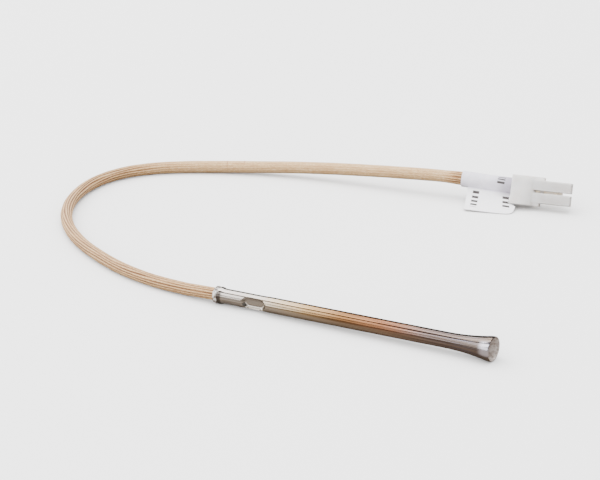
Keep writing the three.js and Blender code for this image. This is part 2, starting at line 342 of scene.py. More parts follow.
def applyModifier(piece, kind, **settings):
    activate(piece)
    modifier = piece.modifiers.new(kind.title(), kind)
    for key, value in settings.items():
        setattr(modifier, key, value)
    bpy.ops.object.modifier_apply(modifier=modifier.name)


def combine(piece, other, operation):
    applyModifier(piece, "BOOLEAN", operation=operation, object=other, solver="EXACT")
    bpy.data.objects.remove(other)


def softenEdges(piece, width, segments=2, angle=30):
    limit = math.radians(angle)
    applyModifier(piece, "BEVEL", width=width, segments=segments, limit_method="ANGLE", angle_limit=limit,
                  use_clamp_overlap=True)


def joinPieces(name, pieces):
    deselectAll()
    for piece in pieces:
        piece.select_set(True)
    bpy.context.view_layer.objects.active = pieces[0]
    bpy.ops.object.join()
    return named(name)


def turned(name, profile, sides):
    # hollow turned piece: a circle run along a closed profile of [x, radius] stations
    deselectAll()
    x, radius = profile[0]
    bpy.ops.mesh.primitive_circle_add(vertices=sides, radius=radius, location=(x, 0, 0),
                                      rotation=(0, math.pi / 2, 0))
    bpy.ops.object.transform_apply(location=True, rotation=True, scale=True)
    piece = named(name)
    bpy.ops.object.mode_set(mode="EDIT")
    bpy.ops.mesh.select_mode(type="EDGE")
    bpy.ops.mesh.select_all(action="SELECT")
    for nextX, nextRadius in profile[1:]:
        bpy.ops.mesh.extrude_region_move(TRANSFORM_OT_translate={"value": (nextX - x, 0, 0)})
        scale = nextRadius / radius
        bpy.ops.transform.resize(value=(1, scale, scale), center_override=(nextX, 0, 0))
        x = nextX
        radius = nextRadius
    bpy.ops.mesh.select_all(action="SELECT")
    bpy.ops.mesh.remove_doubles(threshold=0.0005)
    bpy.ops.mesh.normals_make_consistent(inside=False)
    bpy.ops.object.mode_set(mode="OBJECT")
    return piece


def settle(piece, place, body, replaced=(), smoothAngle=35, solid=True):
    # puts a finished piece in the row's frame, applied, on its body
    activate(piece)
    piece.matrix_world = place @ Matrix.Scale(mm, 4)
    bpy.ops.object.transform_apply(location=True, rotation=True, scale=True)
    if solid:
        bpy.ops.object.mode_set(mode="EDIT")
        bpy.ops.mesh.select_all(action="SELECT")
        bpy.ops.mesh.normals_make_consistent(inside=False)
        bpy.ops.object.mode_set(mode="OBJECT")
    bpy.ops.object.shade_smooth_by_angle(angle=math.radians(smoothAngle))
    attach(piece, body)
    if replaced:
        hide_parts(*replaced)
    return piece


def paint(piece, material):
    piece.data.materials.clear()
    piece.data.materials.append(material)


def smoothStep(value, low, high):
    t = min(max((value - low) / (high - low), 0.0), 1.0)
    return t * t * (3 - 2 * t)


def spread(low, high, count):
    return [low + (high - low) * i / (count - 1) for i in range(count)]


# Braided sleeve: the free lead
lead = {
    "radius": 1.93,
    "swell": 0.12,
    "lift": 0.05,
    "bore": 1.40,
    "sides": 96,
    "ringSpacing": 0.37,
    "ribs": 14,
    "ribDepth": 0.34,
    "ribWidth": 0.25,
    "ribTwist": 0.035,
    "stretch": 10.0,
    "curveSteps": 24,
    # the ribs calm down between these lengths from the sheath, and loosen these lengths from the end
    "calmStart": 118,
    "calmEnd": 165,
    "loosenStart": 9,
    "loosenEnd": 3.4,
    "flare": 0.3,
    # points after the exit, in the order of the row's own route
    "route": [
        (-51.15, 0.0, 2.36), (-56.15, 0.3, 2.08), (-65.65, 1.3, 1.88), (-74.95, 3.2, 1.88),
        (-83.85, 6.2, 1.88), (-92.45, 10.3, 1.88), (-100.65, 15.1, 1.88), (-108.35, 20.8, 1.88),
        (-115.15, 27.4, 1.88), (-120.85, 34.9, 1.88), (-125.25, 43.3, 1.88), (-128.05, 52.3, 1.88),
        (-129.15, 61.7, 1.88), (-127.95, 71.0, 1.88), (-124.05, 79.4, 1.88), (-117.65, 86.4, 1.88),
        (-109.85, 91.8, 1.9), (-101.35, 96.2, 2.0), (-92.55, 99.9, 2.25), (-83.65, 103.1, 2.65),
        (-74.55, 105.7, 3.25), (-65.25, 107.7, 3.9), (-55.85, 109.2, 4.6), (-46.45, 110.4, 5.3),
        (-37.05, 111.6, 5.9), (-27.75, 112.9, 6.38), (-18.45, 114.1, 6.65), (-13.65, 114.75, 6.62),
    ],
}


def alongSheath(x):
    return probePlace @ Vector((x * mm, 0.0, 0.0))


def curvePoint(before, start, end, after, t):
    # Catmull-Rom curve through start and end
    first = 2 * start
    second = (end - before) * t
    third = (2 * before - 5 * start + 4 * end - after) * t * t
    fourth = (3 * start - before - 3 * end + after) * t * t * t
    return (first + second + third + fourth) / 2


def leadCentres():
    lifted = [Vector((x, y, z + lead["lift"])) * mm for x, y, z in lead["route"]]
    points = [alongSheath(-0.6), alongSheath(-2.0)] + lifted
    ends = [2 * points[0] - points[1]] + points + [2 * points[-1] - points[-2]]
    steps = lead["curveSteps"]
    fine = []
    for i in range(1, len(ends) - 2):
        fine += [curvePoint(*ends[i - 1:i + 3], step / steps) for step in range(steps)]
    fine.append(points[-1])
    lengths = [0.0]
    for start, end in zip(fine, fine[1:]):
        lengths.append(lengths[-1] + (end - start).length)
    count = round(lengths[-1] / (lead["ringSpacing"] * mm)) + 1
    centres = []
    index = 0
    for target in spread(0.0, lengths[-1], count):
        while index < len(fine) - 2 and lengths[index + 1] < target:
            index += 1
        part = (target - lengths[index]) / (lengths[index + 1] - lengths[index])
        centres.append(fine[index].lerp(fine[index + 1], part))
    return centres, lengths[-1]


def sleeveRadius(angle, run, total):
    # ribs of the pulled braid: shallow valleys that come and go along the lead
    ribs = lead["ribs"]
    settled = smoothStep(run, lead["calmStart"] * mm, lead["calmEnd"] * mm)
    calm = 1.0 - 0.8 * settled
    loose = smoothStep(run, total - lead["loosenStart"] * mm, total - lead["loosenEnd"] * mm)
    phase = angle / (2 * math.pi) * ribs + lead["ribTwist"] * run / mm * 0.35
    phase += 0.35 * noise.noise(Vector((angle * 1.5, run / mm / 14, 3.0)))
    nearest = round(phase)
    offset = (phase - nearest) / lead["ribWidth"]
    wander = 0.85 + 0.45 * noise.noise(Vector(((nearest % ribs) * 7.3, run / mm / lead["stretch"], 1.0)))
    depth = lead["ribDepth"] * (calm + 0.9 * loose) * min(max(wander, 0.05), 1.0)
    lumps = 0.03 * noise.noise(Vector((math.cos(angle) * 1.4, math.sin(angle) * 1.4, run / mm / 3.5)))
    sag = 0.5 - 0.5 * math.sin(angle)
    valley = math.exp(-offset * offset)
    radius = lead["radius"] + lead["swell"] * settled - depth * valley + lumps
    # the second value is painted shade for the braid's colour: 1 on the rib crests, lower in the valleys
    crest = 1.0 - valley * min(depth / lead["ribDepth"], 1.0)
    return (radius + lead["flare"] * loose * (0.35 + 0.65 * sag)) * mm, crest


def ringAxes(centres, index):
    ahead = centres[min(index + 1, len(centres) - 1)] - centres[max(index - 1, 0)]
    ahead.normalize()
    across = Vector((0.0, 0.0, 1.0)).cross(ahead).normalized()
    return across, ahead.cross(across)


def buildSleeve():
    centres, total = leadCentres()
    sides = lead["sides"]
    corners = []
    ribShades = []
    marks = []
    for i, centre in enumerate(centres):
        across, up = ringAxes(centres, i)
        run = total * i / (len(centres) - 1)
        for k in range(sides + 1):
            angle = 2 * math.pi * (k % sides) / sides
            radius, crest = sleeveRadius(angle, run, total)
            if k < sides:
                corners.append(centre + (across * math.cos(angle) + up * math.sin(angle)) * radius)
                ribShades.append(crest)
            marks.append((k / sides, run / mm))
    faces = []
    faceMarks = []
    for i in range(len(centres) - 1):
        for k in range(sides):
            a = i * sides + k
            b = i * sides + (k + 1) % sides
            faces.append((a, b, b + sides, a + sides))
            m = i * (sides + 1) + k
            faceMarks.append((m, m + 1, m + sides + 2, m + sides + 1))
    # the ends turn in over the bore and are closed a little way inside
    for end, inward in ((0, 1), (len(centres) - 1, -1)):
        across, up = ringAxes(centres, end)
        rim = [end * sides + k for k in range(sides)]
        for step in (0, 4 * inward):
            base = len(corners)
            centre = centres[end + step]
            for k in range(sides):
                angle = 2 * math.pi * k / sides
                out = across * math.cos(angle) + up * math.sin(angle)
                corners.append(centre + out * lead["bore"] * mm)
            for k in range(sides):
                nextK = (k + 1) % sides
                quad = (rim[k], rim[nextK], base + nextK, base + k)
                faces.append(quad[::-1] if inward > 0 else quad)
                faceMarks.append((end * (sides + 1) + k,) * 4)
            rim = [base + k for k in range(sides)]
        corners.append(centre)
        for k in range(sides):
            triangle = (rim[k], rim[(k + 1) % sides], len(corners) - 1)
            faces.append(triangle[::-1] if inward > 0 else triangle)
            faceMarks.append((end * (sides + 1) + k,) * 3)
    mesh = bpy.data.meshes.new("braided_sleeve")
    mesh.from_pydata(corners, [], faces)
    # painted shade of the rib valleys, kept on each corner
    ribShadeLayer = mesh.attributes.new("crest", "FLOAT", "POINT")
    for i, crest in enumerate(ribShades):
        ribShadeLayer.data[i].value = crest
    layer = mesh.uv_layers.new(name="run")
    for polygon, entry in zip(mesh.polygons, faceMarks):
        for loop, mark in zip(polygon.loop_indices, entry):
            layer.data[loop].uv = marks[mark]
    sleeve = bpy.data.objects.new("braided_sleeve", mesh)
    bpy.context.collection.objects.link(sleeve)
    activate(sleeve)
    bpy.ops.object.shade_smooth()
    return sleeve, centres, total


def braidFinish():
    finish = Finish("glassBraid", {"Roughness": 0.72, "Sheen Weight": 0.15, "Specular IOR Level": 0.35})
    marks = finish.place("UV")
    around, run = finish.split(marks)[:2]
    # two sets of strands that cross at a low angle, on the sleeve's own length and girth
    girth = around * 11.4        # millimetres round the sleeve
    left = (run * 0.30 + girth) * 5.6
    right = (run * 0.30 - girth) * 5.6
    over = left.math("SINE").math("ABSOLUTE") * 0.5 + right.math("SINE").math("ABSOLUTE") * 0.5
    stitch = (run * 9.0).math("SINE") * (girth * 8.5).math("SINE")
    weave = over * 0.75 + stitch * 0.25
    point = {"vector_type": "POINT"}
    stretched = finish.node("ShaderNodeMapping", point, {"Vector": marks, "Scale": (15.0, 0.10, 1.0)})
    streaks = finish.noise(stretched, 2.4, 3.0, 0.6)
    wide = finish.node("ShaderNodeMapping", point, {"Vector": marks, "Scale": (5.0, 0.05, 1.0)})
    bands = finish.noise(wide, 3.0, 2.0, 0.5)
    local = finish.place("Object")
    grain = finish.noise(local, 1700.0, 2.0, 0.6)
    # painted shade in the rib valleys, darkening the braid's colour there
    crest = finish.node("ShaderNodeAttribute", {"attribute_name": "crest"}, out="Fac")
    tone = streaks * 0.2 + bands * 0.12 + grain * 0.3 + weave * 0.14 + crest * 0.42
    colour = finish.ramp(tone, [
        (0.42, srgb(94, 62, 38)), (0.56, srgb(142, 102, 64)), (0.68, srgb(176, 136, 92)),
        (0.80, srgb(202, 166, 120)), (0.94, srgb(228, 204, 166)),
    ])
    # a brown tracer fleck here and there
    spots = {"Vector": marks, "Scale": 0.42, "Randomness": 1.0}
    patches = finish.node("ShaderNodeTexVoronoi", {"feature": "F1"}, spots)
    flecks = 1.0 - patches.smooth(0.05, 0.11)
    rare = finish.noise(local, 45.0, 1.0).smooth(0.5, 0.56)
    colour = finish.mix(flecks * rare * 0.8, colour, srgb(150, 98, 58))
    height = weave * 0.5 + streaks * 0.35 + grain * 0.15
    normal = finish.bump(height, 0.00014, 0.9)
    return finish.feed(colour=colour, normal=normal)


sleeve, sleeveCentres, sleeveLength = buildSleeve()
paint(sleeve, braidFinish())
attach(sleeve, "probe_and_lead")
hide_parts("outer_sleeve")
print("braided sleeve", round(sleeveLength / mm, 1), "mm")


# Steel sheath
sheath = {
    "length": 88.9,
    "radius": 2.38,
    "wall": 0.4,
    "neckRadius": 2.28,
    "rearLipRadius": 2.6,
    "rearLipX": 0.5,
    "mouthRadius": 3.7,
    "mouthLipX": 88.3,
    "mouthSkew": 0.07,
    "skewStart": 80.0,
    "flareStart": 72.5,
    "flareEnd": 87.6,
    "flarePower": 2.4,
    "crimpX": 12.4,
    "crimpHalfLength": 3.9,
    "crimpBorder": (0.7, 0.25),
    "crimpAngle": 0.0,
    "crimpHalfWidth": 1.9,
    "crimpRounding": 0.1,
    # height of the pressed pocket's floor over the axis and its hollow: outside and inside of the wall
    "crimpOutside": (0.93, 0.5),
    "crimpInside": (0.7, 0.3),
    "sides": 128,
}


def sheathRadius(x):
    fade = 1 - smoothStep(x, sheath["rearLipX"] + 0.3, 2.0)
    lip = (sheath["rearLipRadius"] - sheath["neckRadius"]) * fade
    swell = (sheath["radius"] - sheath["neckRadius"]) * smoothStep(x, 14, 18)
    along = min(max((x - sheath["flareStart"]) / (sheath["flareEnd"] - sheath["flareStart"]), 0), 1)
    flare = (sheath["mouthRadius"] - sheath["radius"]) * along ** sheath["flarePower"]
    return sheath["neckRadius"] + lip + swell + flare


def pressCrimp(piece, pocket):
    # two opposite hollow pockets, with rounded borders, pressed into every surface of the piece
    for vertex in piece.data.vertices:
        x, y, z = vertex.co
        radius = math.hypot(y, z)
        if radius < 0.01:
            continue
        angle = math.atan2(z, y) - math.radians(sheath["crimpAngle"])
        # the pocket's ends are round
        halfWidth = sheath["crimpHalfWidth"]
        inner, outer = sheath["crimpBorder"]
        past = max(abs(x - sheath["crimpX"]) - sheath["crimpHalfLength"] + halfWidth, 0.0)
        reach = math.hypot(past, 0.8 * radius * math.sin(angle)) if past > 0 else 0.0
        press = 1 - smoothStep(reach, halfWidth - inner, halfWidth + outer)
        if press <= 0:
            continue
        floor, hollow = pocket(radius)
        floor = radius - (radius - floor) * press
        bend = hollow / sheath["crimpHalfWidth"] ** 2
        # where the ray at this angle meets the pocket's curved floor
        cosine = max(abs(math.cos(angle)), 0.02)
        sine = max(abs(math.sin(angle)), 0.0001)
        room = cosine * cosine - 4 * bend * floor * sine * sine
        if room <= 0:
            continue
        flat = 2 * floor / (cosine + math.sqrt(room))
        rounding = sheath["crimpRounding"]
        blend = max(rounding - abs(radius - flat), 0.0) / rounding
        pressed = min(radius, flat) - blend * blend * rounding / 4
        vertex.co.y = y * pressed / radius
        vertex.co.z = z * pressed / radius


def lipArc(x, outer, inner, bulge):
    # rounded end of the wall, from its outer to its inner surface
    steps = [math.pi * i / 6 for i in range(1, 6)]
    middle = (outer + inner) / 2
    return [(x + bulge * math.sin(step), middle + (outer - inner) / 2 * math.cos(step)) for step in steps]


def buildSheath():
    wall = sheath["wall"]
    lipStart = sheath["mouthLipX"] - 0.4
    flareX = (sheath["flareStart"], sheath["flareEnd"] - 0.3)
    outerX = spread(0.5, 3.4, 9) + spread(3.8, 20.0, 52) + spread(30, 70, 5)
    outerX += spread(*flareX, 24) + [lipStart]
    innerX = spread(0.5, 3.4, 4) + spread(6.0, 18.0, 14) + [45, 70] + spread(*flareX, 16) + [lipStart]
    profile = [(x, sheathRadius(x)) for x in outerX]
    profile += [(sheath["mouthLipX"], sheath["mouthRadius"] + 0.01)]
    profile += lipArc(sheath["mouthLipX"] + 0.22, sheath["mouthRadius"], sheath["mouthRadius"] - wall, 0.33)
    profile += [(x, sheathRadius(x) - wall) for x in reversed(innerX)]
    profile += reversed(lipArc(0.28, sheath["rearLipRadius"], sheath["rearLipRadius"] - wall, -0.27))
    profile += [profile[0]]
    piece = turned("sheath", profile, sheath["sides"])
    middle = sheath["neckRadius"] - wall / 2
    pressCrimp(piece, lambda radius: sheath["crimpInside"] if radius < middle else sheath["crimpOutside"])
    # the mouth stands slightly askew
    for vertex in piece.data.vertices:
        share = smoothStep(vertex.co.x, sheath["skewStart"], sheath["mouthLipX"])
        vertex.co.x += sheath["mouthSkew"] * vertex.co.y * share
    return settle(piece, probePlace, "probe_and_lead", ["sheath_tube"], 40)


def steelFinish():
    finish = Finish("sheathSteel", {"Metallic": 1.0, "Roughness": 0.2})
    local = finish.mapped(probePlace)
    x, y, z = finish.split(local)
    radius = (y * y + z * z).math("SQRT")
    drift = finish.noise(local, 90.0, 2.0, 0.5)
    run = x / (sheath["length"] * mm) + (drift - 0.5) * 0.08
    tint = finish.ramp(run, [
        (0.0, srgb(228, 223, 218)), (0.17, srgb(224, 217, 208)), (0.25, srgb(218, 196, 164)),
        (0.33, srgb(206, 172, 126)), (0.47, srgb(164, 122, 82)), (0.60, srgb(148, 102, 74)),
        (0.68, srgb(140, 104, 86)), (0.77, srgb(130, 112, 102)), (0.87, srgb(130, 116, 108)),
        (0.95, srgb(142, 130, 124)), (1.0, srgb(150, 136, 126)),
    ])
    # the colour is paler and less tinted on the underside
    lift = z.math("ARCTAN2", y * -1.0)
    plain = finish.ramp(run, [
        (0.18, srgb(224, 217, 208)), (0.28, srgb(226, 212, 194)), (0.47, srgb(208, 190, 168)),
        (0.65, srgb(198, 176, 154)), (0.83, srgb(160, 140, 128)), (1.0, srgb(150, 134, 122)),
    ])
    tint = finish.mix((1.0 - lift.smooth(-0.1, 0.2)) * 0.8, tint, plain)
    # fine drawing lines along the tube, handling marks across it
    drawn = {0: x * 5.0, 1: y / radius * 2.4, 2: z / radius * 2.4}
    lengthwise = finish.node("ShaderNodeCombineXYZ", {}, drawn)
    lines = finish.noise(lengthwise, 7.0, 5.0, 0.75)
    smudges = finish.noise(local, 420.0, 3.0, 0.6)
    # pink and violet temper streaks, thin and few
    streaks = finish.noise(lengthwise, 11.0, 2.0, 0.5)
    warm = (x / mm).smooth(40.0, 55.0) * (1.0 - (x / mm).smooth(82.0, 88.0))
    temper = finish.mix((x / mm).smooth(58.0, 72.0), srgb(216, 160, 122), srgb(168, 170, 194))
    tint = finish.mix(streaks.smooth(0.54, 0.66) * warm * 0.7, tint, temper)
    colour = finish.mix(lines.smooth(0.4, 0.6) * 0.8, tint, srgb(148, 134, 122), "MULTIPLY")
    # painted shade in the groove behind the rolled rear lip, all round but the top
    lipShade = (1.0 - (x / mm).smooth(1.1, 1.7)) * (1.0 - (z / radius).smooth(0.62, 0.85))
    colour = finish.mix(lipShade * 0.85, colour, srgb(70, 60, 54))
    # painted highlight on the near side of the flare
    flareHighlight = (x / mm).smooth(84.6, 86.8) * (1.0 - (lift - 0.3).math("ABSOLUTE").smooth(0.42, 0.75))
    colour = finish.mix(flareHighlight * 0.8, colour, srgb(236, 232, 244))
    # the bore and the inside of the flare are sooted by the flame
    flareRun = {"Value": x / mm, "From Min": sheath["flareStart"], "From Max": sheath["flareEnd"]}
    flared = finish.node("ShaderNodeMapRange", {"clamp": True}, flareRun)
    flareRise = sheath["mouthRadius"] - sheath["radius"]
    wallMiddle = flared ** sheath["flarePower"] * flareRise + (sheath["radius"] - sheath["wall"] / 2)
    inside = (1.0 - (radius / mm - wallMiddle).smooth(-0.12, 0.04)) * (x / mm).smooth(40.0, 50.0)
    tip = (x / mm).smooth(78.0, 88.0)
    soot = finish.noise(local, 900.0, 3.0, 0.6)
    sootColour = finish.ramp(soot, [
        (0.35, srgb(160, 147, 138)), (0.5, srgb(204, 193, 186)), (0.66, srgb(240, 233, 228)),
    ])
    colour = finish.mix(inside * 0.9, colour, sootColour)
    roughness = lines * 0.1 + smudges * 0.06 + 0.02 + inside * 0.35 + tip * 0.06
    normal = finish.bump(lines * 0.8 + smudges * 0.2, 0.00002, 0.6)
    metallic = 1.0 - inside * 0.7
    return finish.feed(colour=colour, roughness=roughness, metallic=metallic, normal=normal)


sheathPiece = buildSheath()
paint(sheathPiece, steelFinish())
print("sheath", len(sheathPiece.data.polygons), "faces")


# Frayed end of the glass sleeve, rolled back behind the sheath
collar = {
    "back": -1.42,
    "front": -0.05,
    "radius": 2.45,
    "throat": 1.7,
    "tailRadius": 1.55,
    "tailBore": 1.1,
    "tailEnd": 17.1,
    "fibres": 170,
    "fibreThickness": 0.035,
    "lump": 0.3,
    "seed": 11,
}


def buildCollar():
    middle = (collar["back"] + collar["front"]) / 2
    half = (collar["front"] - collar["back"]) / 2
    ring = []
    for i in range(15):
        turn = math.pi * i / 14
        ring.append((middle - half * math.cos(turn), collar["radius"] - 0.34 + 0.34 * math.sin(turn)))
    profile = [(collar["back"] + 0.25, collar["throat"])] + ring
    profile += [(collar["front"], 1.9), (0.1, collar["tailRadius"])]
    stations = spread(2.0, collar["tailEnd"], 16)
    profile += [(x, collar["tailRadius"]) for x in stations]
    profile += [(x, collar["tailBore"]) for x in reversed(stations)]
    profile += [(0.2, collar["tailBore"]), (-0.9, 1.2), profile[0]]
    piece = turned("collar_ring", profile, 120)
    pressCrimp(piece, lambda radius: (0.65, 0.0) if radius > 1.3 else (0.53, 0.0))
    for vertex in piece.data.vertices:
        place = vertex.co.copy()
        if place.x > -0.04 or math.hypot(place.y, place.z) < 1.8:
            continue
        lump = noise.noise(place * 1.7) * 0.6 + noise.noise(place * 4.5) * 0.4
        out = Vector((0.0, place.y, place.z)).normalized()
        shift = Vector((noise.noise(place * 2.3 + out * 9) * 0.1, 0, 0))
        vertex.co = place + out * lump * collar["lump"] + shift
    return piece


def buildFibres():
    # short loose strands that lie over the rolled end in all directions
    pick = random.Random(collar["seed"])
    curve = bpy.data.curves.new("collar_fibres", "CURVE")
    curve.dimensions = "3D"
    curve.bevel_depth = collar["fibreThickness"]
    curve.bevel_resolution = 0
    curve.use_fill_caps = True
    middle = (collar["back"] + collar["front"]) / 2
    for i in range(collar["fibres"]):
        angle = pick.uniform(0, 2 * math.pi)
        x = pick.uniform(collar["back"] + 0.15, collar["front"] - 0.15)
        lie = pick.uniform(-1.2, 1.2)
        length = pick.uniform(0.35, 0.9)
        lift = pick.choice([0.0, 0.0, 0.05, 0.12])
        spline = curve.splines.new("POLY")
        spline.points.add(3)
        for step, point in enumerate(spline.points):
            part = step / 3 - 0.5
            turn = angle + part * length * math.cos(lie) / collar["radius"]
            place = x + part * length * math.sin(lie)
            bulge = math.sqrt(max(1 - ((place - middle) / 0.8) ** 2, 0.0))
            radius = collar["radius"] - 0.3 + 0.36 * bulge + lift * (part + 0.5) + pick.uniform(-0.02, 0.05)
            place = min(place, collar["front"])
            point.co = (place, radius * math.cos(turn), radius * math.sin(turn), 1.0)
    strands = bpy.data.objects.new("collar_fibres", curve)
    bpy.context.collection.objects.link(strands)
    activate(strands)
    bpy.ops.object.convert(target="MESH")
    # each strand's end caps are joined to it, so that its faces can all point outwards
    strands = bpy.context.object
    applyModifier(strands, "WELD", merge_threshold=0.001)
    return strands


def fibreFinish():
    finish = Finish("frayedGlass", {"Roughness": 0.8, "Specular IOR Level": 0.4})
    local = finish.place("Object")
    clumps = finish.noise(local, 750.0, 3.0, 0.7)
    speck = finish.noise(local, 2600.0, 2.0, 0.6)
    tone = clumps * 0.6 + speck * 0.4
    colour = finish.ramp(tone, [
        (0.41, srgb(66, 52, 44)), (0.47, srgb(124, 108, 96)),
        (0.52, srgb(196, 190, 184)), (0.60, srgb(246, 244, 242)),
    ])
    normal = finish.bump(tone, 0.0004, 0.9)
    return finish.feed(colour=colour, normal=normal)


collarPiece = joinPieces("frayed_collar", [buildCollar(), buildFibres()])
settle(collarPiece, probePlace, "probe_and_lead", ["sleeve_root"], 60)
paint(collarPiece, fibreFinish())
print("frayed collar")


# Sensing element inside the sheath
element = {
    "legOffset": 0.55,
    "wireRadius": 0.18,
    "wireStart": 20.2,
    "bendStart": 79.0,
    "beadX": 81.0,
    "beadSize": (0.62, 0.5, 0.72),
    "wireSides": 20,
}


def buildLeg(name, side):
    # round wire that runs straight out of the insulator and leans in to the bead
    offset = side * element["legOffset"]
    route = [(element["wireStart"], offset), (50.0, offset), (element["bendStart"], offset)]
    lean = element["beadX"] - element["bendStart"] - 0.25
    for i in range(1, 8):
        part = i / 7
        route.append((element["bendStart"] + lean * part, offset * (1 - 0.55 * smoothStep(part, 0, 1))))
    deselectAll()
    x, z = route[0]
    bpy.ops.mesh.primitive_circle_add(vertices=element["wireSides"], radius=element["wireRadius"],
                                      fill_type="NGON", location=(x, 0, z), rotation=(0, math.pi / 2, 0))
    bpy.ops.object.transform_apply(location=True, rotation=True, scale=True)
    piece = named(name)
    bpy.ops.object.mode_set(mode="EDIT")
    bpy.ops.mesh.select_mode(type="FACE")
    bpy.ops.mesh.select_all(action="SELECT")
    for nextX, nextZ in route[1:]:
        bpy.ops.mesh.extrude_region_move(TRANSFORM_OT_translate={"value": (nextX - x, 0, nextZ - z)})
        x = nextX
        z = nextZ
    bpy.ops.object.mode_set(mode="OBJECT")
    return piece


def buildBead():
    # welded bead with the two wire ends swelling out of it
    deselectAll()
    bpy.ops.mesh.primitive_uv_sphere_add(segments=40, ring_count=24, radius=1,
                                         location=(element["beadX"], 0, 0), scale=element["beadSize"])
    bpy.ops.object.transform_apply(location=True, rotation=True, scale=True)
    piece = named("welded_bead")
    for vertex in piece.data.vertices:
        place = vertex.co
        out = Vector((place.x - element["beadX"], place.y, place.z))
        vertex.co = place + out * 0.12 * noise.noise(place * 2.6)
    return piece


def elementFinish(name, dark, light, scale):
    finish = Finish(name, {"Metallic": 1.0, "Roughness": 0.45})
    local = finish.place("Object")
    scaleMarks = finish.noise(local, scale, 4.0, 0.6)
    colour = finish.ramp(scaleMarks, [(0.35, dark), (0.65, light)])
    roughness = scaleMarks * 0.4 + 0.2
    normal = finish.bump(scaleMarks, 0.00004, 0.6)
    return finish.feed(colour=colour, roughness=roughness, normal=normal)


wireMetal = elementFinish("elementWire", srgb(96, 86, 78), srgb(150, 138, 126), 2400.0)
for letter, side in (("a", 1), ("b", -1)):
    leg = buildLeg("element_leg_" + letter, side)
    settle(leg, probePlace, "probe_and_lead", ["element_wire_" + letter])
    paint(leg, wireMetal)
beadPiece = settle(buildBead(), probePlace, "probe_and_lead", ["sensing_bead"], 60)
paint(beadPiece, elementFinish("weldedBead", srgb(84, 74, 66), srgb(168, 152, 136), 1500.0))
print("sensing element")


# Mineral and fibre parts that keep their CAD shape
def grainFinish(name, dark, light, scale, depth, roughness):
    finish = Finish(name, {"Roughness": roughness, "Specular IOR Level": 0.35})
    local = finish.place("Object")
    coarse = finish.noise(local, scale, 4.0, 0.6)
    fine = finish.noise(local, scale * 5, 2.0, 0.5)
    tone = coarse * 0.65 + fine * 0.35
    colour = finish.ramp(tone, [(0.35, dark), (0.65, light)])
    normal = finish.bump(tone, depth, 0.7)
    return finish.feed(colour=colour, normal=normal)


cementFinish = grainFinish("kilnCement", srgb(150, 138, 120), srgb(204, 194, 178), 1400.0, 0.00012, 0.95)
ceramicFinish = grainFinish("alumina", srgb(226, 220, 204), srgb(246, 242, 232), 700.0, 0.00003, 0.55)
wrapFinish = grainFinish("glassWrap", srgb(196, 184, 162), srgb(232, 224, 208), 2200.0, 0.00008, 0.85)
platedFinish = elementFinish("platedSplice", srgb(160, 154, 144), srgb(206, 200, 190), 1800.0)
strandFinish = elementFinish("platedStrand", srgb(170, 138, 108), srgb(206, 184, 158), 2600.0)
for name, finish in (
    ("rear_seal", cementFinish), ("front_seal", cementFinish), ("ceramic_insulator", ceramicFinish),
    ("splice_sleeve", wrapFinish), ("splice_a", platedFinish), ("splice_b", platedFinish),
    ("lead_insulation_a", wrapFinish), ("lead_insulation_b", wrapFinish),
    ("lead_core_a", strandFinish), ("lead_core_b", strandFinish),
):
    paint(nodes[name], finish)
print("kept CAD pieces finished")


# Paper flag label
flag = {
    "place": (-16.85, 114.2, 6.7),
    "heading": 8.6,
    "dip": 1.8,
    "wrapStart": 0.85,
    "wrapEnd": 17.8,
    "wrapRadius": 2.6,
    "paper": 0.13,
    # tail: its left edge, its right edge beside and in front of the plug, its corners
    "leftEdge": (2.9, 0.15),
    "rightEdge": (17.7, 2.8, 4.9, 6.0),
    "rightCorner": 2.6,
    "leftCorner": 0.7,
    "bottomSlant": 0.129,
    # the tail's run from the wrap down to the surface, across and up in the label's own frame
    "tailRun": [(-1.7, -1.62), (-3.6, -3.3), (-6.0, -4.75), (-8.4, -5.6), (-10.8, -5.9), (-13.2, -5.97)],
    "runUsed": 0.917,
    # plain bars in place of print: low and high edge along the label, its lean, the side of the wrap,
    # first and last bar's place and their spacing
    "marks": [
        (13.0, 15.6, 0.0, 1, 0.3, 2.4, 0.8),
        (14.5, 16.9, 0.28, -1, 3.2, 7.6, 1.45),
        (4.9, 7.1, 0.12, -1, 2.8, 9.4, 1.6),
    ],
}


def flagFrame():
    heading = Matrix.Rotation(math.radians(flag["heading"]), 4, "Z")
    dip = Matrix.Rotation(math.radians(flag["dip"]), 4, "Y")
    return Matrix.Translation(Vector(flag["place"]) * mm) @ (heading @ dip)


def buildWrap():
    outer = flag["wrapRadius"]
    inner = outer - flag["paper"]
    stations = spread(flag["wrapStart"], flag["wrapEnd"], 36)
    profile = [(x, outer) for x in stations] + [(x, inner) for x in reversed(stations)]
    profile.append(profile[0])
    piece = turned("flag_wrap", profile, 96)
    for vertex in piece.data.vertices:
        place = vertex.co
        angle = math.atan2(place.z, place.y)
        # the paper is drawn down towards the tail and creased where it starts
        pull = max(math.cos(angle + math.radians(135)), 0.0) ** 6
        dent = 0.09 * noise.noise(Vector((place.x / 4.5, math.cos(angle) * 1.3, math.sin(angle) * 1.3)))
        scale = 1 + 0.05 * pull + dent * 0.5
        vertex.co.y = place.y * scale
        vertex.co.z = place.z * scale
    return piece


def runPoint(points, part):
    place = part * (len(points) - 1)
    index = min(int(place), len(points) - 2)
    ends = [2 * points[0] - points[1]] + points + [2 * points[-1] - points[-2]]
    return curvePoint(*ends[index:index + 4], place - index)


def cornerTrim(radius, above):
    # how far a rounded corner pulls the edge in, at a height above the bottom edge
    beyond = max(radius - above, 0.0)
    return radius - math.sqrt(max(radius * radius - beyond * beyond, 0.0))


